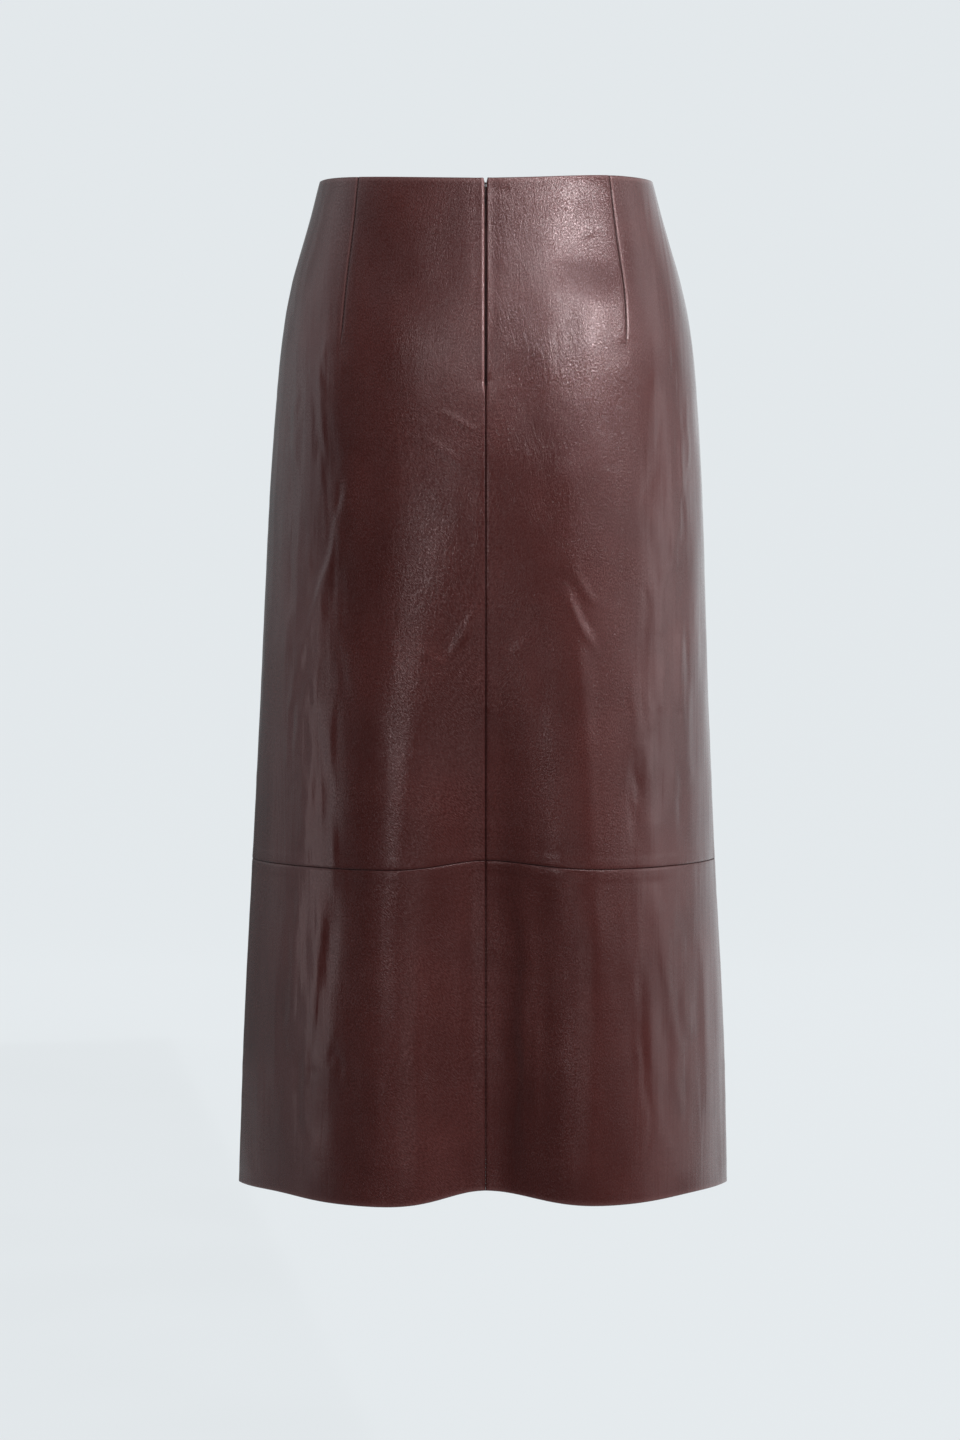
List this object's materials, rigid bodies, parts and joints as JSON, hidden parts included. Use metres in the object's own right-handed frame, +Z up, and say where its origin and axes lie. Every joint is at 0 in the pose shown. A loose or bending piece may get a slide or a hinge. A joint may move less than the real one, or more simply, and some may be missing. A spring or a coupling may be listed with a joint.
{
  "type": "leather skirt",
  "caption": "Fitted A-line midi skirt in leather, held open in its worn shape, with a level seam above the hem, darts and a concealed centre-back zip.",
  "frame": {"origin": "middle of the waist opening, level with the waist edge at the side seams", "axes": "+Z up along the wearer, -Y towards the back with the zip, +X towards the wearer's right"},
  "size_m": [0.3878, 0.2536, 0.7943],
  "materials": {
    "leather": "oxblood nappa with a fine grain, semi-gloss",
    "zip_tape": "dark woven polyester tape",
    "zip_metal": "enamelled to match the leather"
  },
  "bodies": {
    "skirt": {"front_upper": "leather", "back_upper_left": "leather", "back_upper_right": "leather", "front_lower": "leather", "back_lower_left": "leather", "back_lower_right": "leather", "zip_tape_left": "zip_tape", "zip_tape_right": "zip_tape", "zip_slider": "zip_metal"},
    "pull": {"zip_pull": "zip_metal"}
  },
  "joints": [
    {"name": "pull_swing", "type": "hinge", "parent": "skirt", "child": "pull", "pos_m": [0, -0.0948, -0.00951], "axis": [1, 0, 0], "range_deg": [0, 262]}
  ]
}
